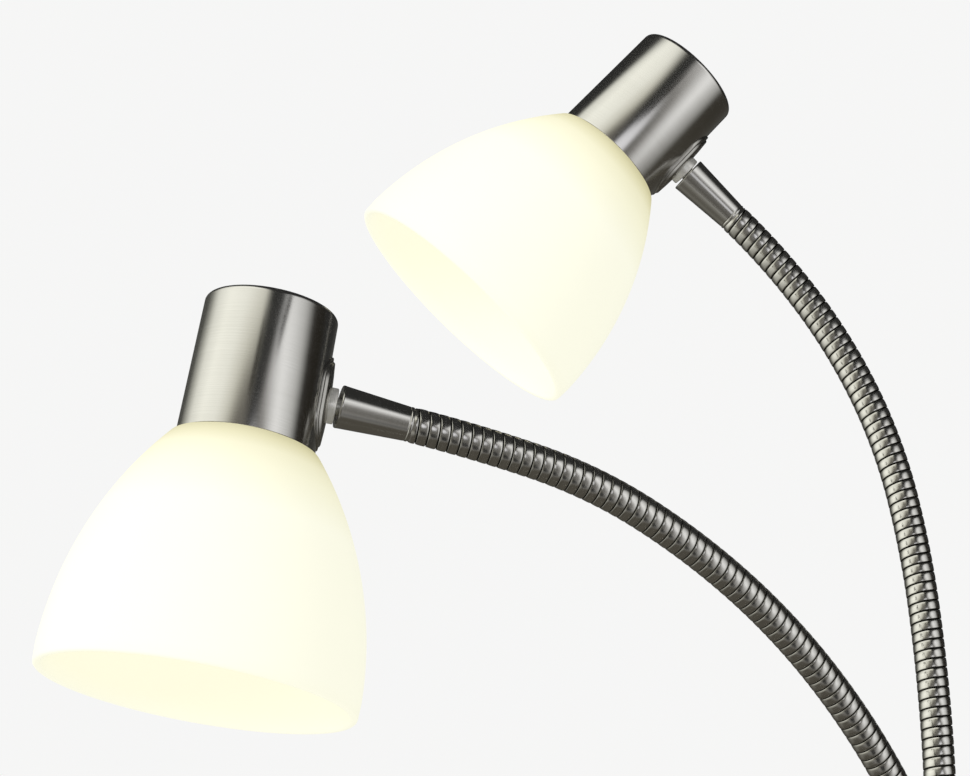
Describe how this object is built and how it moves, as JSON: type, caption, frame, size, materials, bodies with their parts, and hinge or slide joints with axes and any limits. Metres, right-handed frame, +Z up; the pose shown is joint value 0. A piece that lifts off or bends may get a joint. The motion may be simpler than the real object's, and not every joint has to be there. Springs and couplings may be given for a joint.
{
  "type": "torchiere floor lamp",
  "caption": "Torchiere floor lamp: round weighted base, slim pole, opal uplight bowl, and goosenecks with opal bell shades for reading.",
  "frame": {"origin": "on the floor, at the pole's axis", "axes": "+Z up along the pole, -X towards the reading lights, -Y towards the knobs"},
  "size_m": [0.5226, 0.3418, 1.814],
  "materials": {
    "nickel": "brushed nickel plate",
    "bright_nickel": "polished nickel",
    "hose": "satin nickel hose",
    "zinc": "zinc plate",
    "cast_iron": "black paint",
    "felt": "felt",
    "rubber": "matt",
    "black_plastic": "satin",
    "holder_plastic": "matt",
    "opal_glass": "opal, lit from inside",
    "bulb_glass": "frosted",
    "bulb_cap": "screw cap"
  },
  "bodies": {
    "stand": {"base_pad": "felt", "base_weight": "cast_iron", "base_cover": "nickel", "cord_grommet": "rubber", "base_nipple": "zinc", "base_locknut": "zinc", "pole_collar": "nickel", "pole_foot_bush": "zinc", "pole_lower": "nickel", "pole_middle": "nickel", "pole_upper": "nickel", "pole_joiner_lower": "zinc", "pole_joiner_upper": "zinc", "hub_body": "nickel", "hub_lid": "black_plastic", "hub_screws": "zinc", "knob_bushes": "zinc", "arm_socket_left": "nickel", "arm_socket_right": "nickel", "uplight_cup": "nickel", "uplight_lampholder": "holder_plastic", "uplight_ring": "holder_plastic", "uplight_bowl": "opal_glass", "uplight_bulb": "bulb_glass", "uplight_bulb_cap": "bulb_cap"},
    "uplight_knob": {"uplight_knob": "black_plastic"},
    "reading_knob": {"reading_knob": "black_plastic"},
    "hose_left_1": {"gooseneck_left_1": "hose"},
    "hose_left_2": {"gooseneck_left_2": "hose"},
    "hose_left_3": {"gooseneck_left_3": "hose"},
    "hose_left_4": {"gooseneck_left_4": "hose"},
    "hose_left_5": {"gooseneck_left_5": "hose"},
    "hose_left_6": {"gooseneck_left_6": "hose", "sleeve_left": "nickel"},
    "head_left": {"swivel_neck_left": "bright_nickel", "saddle_plate_left": "bright_nickel", "plate_nut_left": "zinc", "cup_left": "nickel", "lampholder_left": "holder_plastic", "shade_ring_left": "holder_plastic", "glass_shade_left": "opal_glass", "bulb_left": "bulb_glass", "bulb_cap_left": "bulb_cap"},
    "hose_right_1": {"gooseneck_right_1": "hose"},
    "hose_right_2": {"gooseneck_right_2": "hose"},
    "hose_right_3": {"gooseneck_right_3": "hose"},
    "hose_right_4": {"gooseneck_right_4": "hose"},
    "hose_right_5": {"gooseneck_right_5": "hose"},
    "hose_right_6": {"gooseneck_right_6": "hose", "sleeve_right": "nickel"},
    "head_right": {"swivel_neck_right": "bright_nickel", "saddle_plate_right": "bright_nickel", "plate_nut_right": "zinc", "cup_right": "nickel", "lampholder_right": "holder_plastic", "shade_ring_right": "holder_plastic", "glass_shade_right": "opal_glass", "bulb_right": "bulb_glass", "bulb_cap_right": "bulb_cap"}
  },
  "joints": [
    {"name": "left_bend_1", "type": "hinge", "parent": "stand", "child": "hose_left_1", "pos_m": [-0.0373, -0.018, 1.2663], "axis": [0.4985, -0.8669, 0], "range_deg": [-5, 10]},
    {"name": "left_sway_2", "type": "hinge", "parent": "hose_left_1", "child": "hose_left_2", "pos_m": [-0.05847, -0.02964, 1.30909], "axis": [-0.7277, -0.3869, -0.5664], "range_deg": [-12, 3]},
    {"name": "left_bend_3", "type": "hinge", "parent": "hose_left_2", "child": "hose_left_3", "pos_m": [-0.0858, -0.04384, 1.3474], "axis": [0.454, -0.891, 0], "range_deg": [-6, 12]},
    {"name": "left_sway_4", "type": "hinge", "parent": "hose_left_3", "child": "hose_left_4", "pos_m": [-0.11844, -0.05956, 1.38061], "axis": [-0.561, -0.2569, -0.7869], "range_deg": [-12, 4]},
    {"name": "left_bend_5", "type": "hinge", "parent": "hose_left_4", "child": "hose_left_5", "pos_m": [-0.15591, -0.07545, 1.40817], "axis": [0.3665, -0.9304, 0], "range_deg": [-8, 12]},
    {"name": "left_bend_6", "type": "hinge", "parent": "hose_left_5", "child": "hose_left_6", "pos_m": [-0.19842, -0.08989, 1.42804], "axis": [0.2807, -0.9598, 0], "range_deg": [-12, 12]},
    {"name": "left_head_swivel", "type": "hinge", "parent": "hose_left_6", "child": "head_left", "pos_m": [-0.26552, -0.10507, 1.44655], "axis": [-0.9754, -0.1077, 0.1925], "range_deg": [-90, 90]},
    {"name": "right_bend_1", "type": "hinge", "parent": "stand", "child": "hose_right_1", "pos_m": [-0.0265, 0.012, 1.2717], "axis": [-0.991, 0.134, 0], "range_deg": [0, 10]},
    {"name": "right_sway_2", "type": "hinge", "parent": "hose_right_1", "child": "hose_right_2", "pos_m": [-0.02659, 0.0216, 1.31994], "axis": [-0.1206, 0.9684, -0.2181], "range_deg": [-3, 5]},
    {"name": "right_bend_3", "type": "hinge", "parent": "hose_right_2", "child": "hose_right_3", "pos_m": [-0.02924, 0.03289, 1.36775], "axis": [-0.9483, -0.3173, 0], "range_deg": [0, 12]},
    {"name": "right_sway_4", "type": "hinge", "parent": "hose_right_3", "child": "hose_right_4", "pos_m": [-0.0359, 0.04487, 1.41498], "axis": [-0.5829, 0.7515, -0.309], "range_deg": [-5, 8]},
    {"name": "right_bend_5", "type": "hinge", "parent": "hose_right_4", "child": "hose_right_5", "pos_m": [-0.05024, 0.05621, 1.46056], "axis": [-0.4818, -0.8763, 0], "range_deg": [-6, 12]},
    {"name": "right_bend_6", "type": "hinge", "parent": "hose_right_5", "child": "hose_right_6", "pos_m": [-0.07415, 0.0646, 1.5026], "axis": [-0.2113, -0.9774, 0], "range_deg": [-8, 12]},
    {"name": "right_head_swivel", "type": "hinge", "parent": "hose_right_6", "child": "head_right", "pos_m": [-0.1222, 0.06686, 1.55495], "axis": [-0.7066, -0.1056, 0.6997], "range_deg": [-90, 75]},
    {"name": "uplight_knob_turn", "type": "hinge", "parent": "stand", "child": "uplight_knob", "pos_m": [-0.003, -0.025, 1.233], "axis": [0, -1, 0], "range_deg": [0, 270]},
    {"name": "reading_knob_turn", "type": "hinge", "parent": "stand", "child": "reading_knob", "pos_m": [-0.027, -0.025, 1.233], "axis": [0, -1, 0], "range_deg": [0, 90]}
  ]
}
